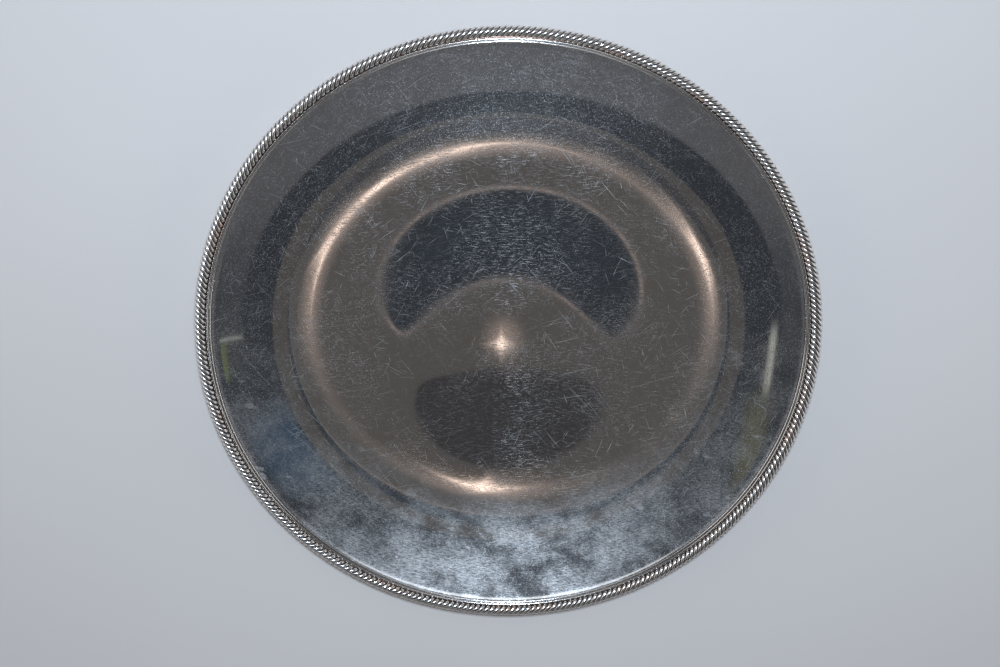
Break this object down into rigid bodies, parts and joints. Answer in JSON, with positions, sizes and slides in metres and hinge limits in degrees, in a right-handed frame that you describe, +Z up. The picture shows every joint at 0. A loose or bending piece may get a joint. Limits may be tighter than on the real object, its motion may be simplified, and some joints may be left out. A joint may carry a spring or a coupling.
{
  "type": "round serving salver",
  "caption": "Round silver salver: a shallow spun dish with a leaning rope border, a reeded strip inside it and a low foot ring.",
  "frame": {"origin": "centre of the foot ring, on the surface that the salver stands on", "axes": "+Z up out of the dish, along its axis; +X and +Y across the dish, which is round"},
  "size_m": [0.4, 0.4, 0.0243],
  "materials": {
    "polished_silver": "mirror polished sheet silver with fine hand-wear scratches and streaky polishing marks",
    "border_silver": "struck silver, bright on the lobes and darkened with warm tarnish in the grooves",
    "reed_silver": "drawn silver wire, bright on the ridges with a brown tarnish line beside them",
    "foot_silver": "plain silver strip and wire, scuffed where it stands"
  },
  "bodies": {
    "root": {"dish_body": "polished_silver", "rope_border_1": "border_silver", "rope_border_2": "border_silver", "rope_border_3": "border_silver", "rope_border_4": "border_silver", "rope_border_5": "border_silver", "rope_border_6": "border_silver", "rope_border_7": "border_silver", "rope_border_8": "border_silver", "rope_border_9": "border_silver", "reed_wire_1": "reed_silver", "reed_wire_2": "reed_silver", "reed_wire_3": "reed_silver", "foot_collet": "foot_silver", "foot_wire": "foot_silver"}
  },
  "joints": []
}
